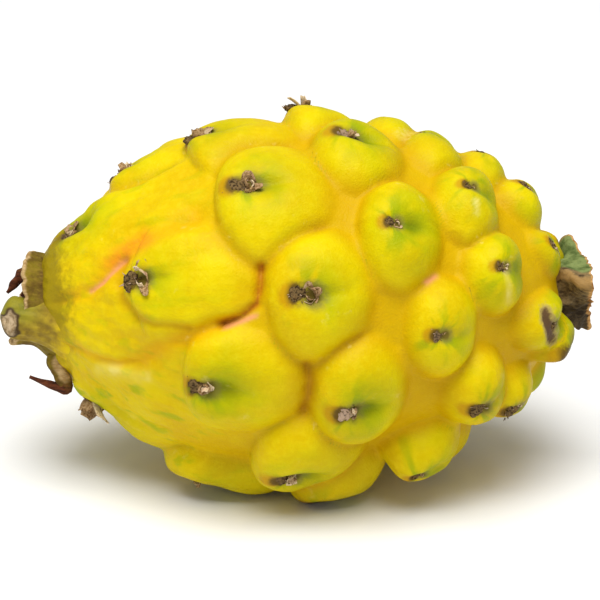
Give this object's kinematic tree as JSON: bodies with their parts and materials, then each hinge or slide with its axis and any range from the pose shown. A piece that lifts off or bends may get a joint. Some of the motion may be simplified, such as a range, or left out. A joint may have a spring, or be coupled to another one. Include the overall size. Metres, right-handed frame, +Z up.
{
  "type": "dragon fruit",
  "caption": "Yellow dragon fruit lying on its side, its egg-shaped rind set with spiralling tubercles, with a cut ribbed stem stub and the dried remains of its flower.",
  "frame": {"origin": "on the surface that the fruit lies on, under the middle of its bounding box", "axes": "+X along the long axis towards the cut stem, -Y the side seen in the picture, +Z up"},
  "size_m": [0.1148, 0.0758, 0.0739],
  "materials": {
    "rind": null,
    "stem": "corky brown cactus stem with a green rib and a pale cut",
    "dry_flower": null
  },
  "bodies": {
    "root": {"fruit": "rind", "stem": "stem", "withered_flower": "dry_flower"}
  },
  "joints": []
}
